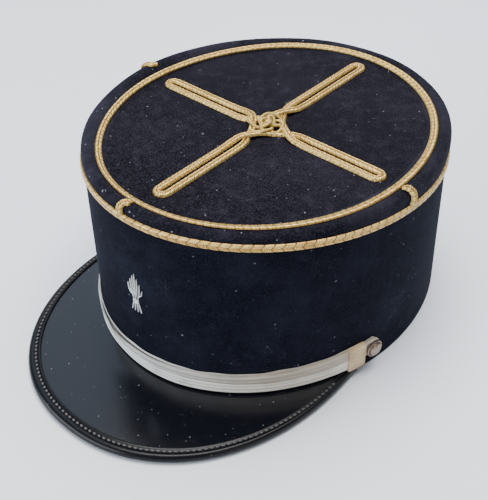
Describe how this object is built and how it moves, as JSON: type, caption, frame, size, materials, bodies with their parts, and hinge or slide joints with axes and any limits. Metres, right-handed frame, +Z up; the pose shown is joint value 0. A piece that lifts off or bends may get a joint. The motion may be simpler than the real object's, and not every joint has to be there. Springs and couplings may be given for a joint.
{
  "type": "kepi cap",
  "caption": "Stiff kepi cap with an oval flat top, gold braid round its rim and in a looped knot on top, a silver front strap and a black leather peak.",
  "frame": {"origin": "middle of the whole cap's plan, on the surface that it stands on", "axes": "+Z up, the front and the peak towards -Y, the wearer's left towards +X"},
  "size_m": [0.175, 0.2474, 0.1015],
  "materials": {
    "velvet_cloth": "napped",
    "wool_felt": "matte",
    "gold_braid": "metallic thread",
    "silver_braid": "metallic thread",
    "black_leather": "gloss",
    "silvered_metal": "satin"
  },
  "bodies": {
    "root": {"side_wall": "velvet_cloth", "top_edge": "velvet_cloth", "top_disc": "wool_felt", "rim_braid": "gold_braid", "ring_braid": "gold_braid", "tab_front": "gold_braid", "tab_left": "gold_braid", "tab_back": "gold_braid", "tab_right": "gold_braid", "knot_cord": "gold_braid", "knot_centre": "gold_braid", "badge": "silver_braid", "peak": "black_leather", "peak_binding": "black_leather", "chin_strap": "silver_braid", "slide_left": "silver_braid", "slide_right": "silver_braid", "button_left": "silvered_metal", "button_right": "silvered_metal"}
  },
  "joints": []
}
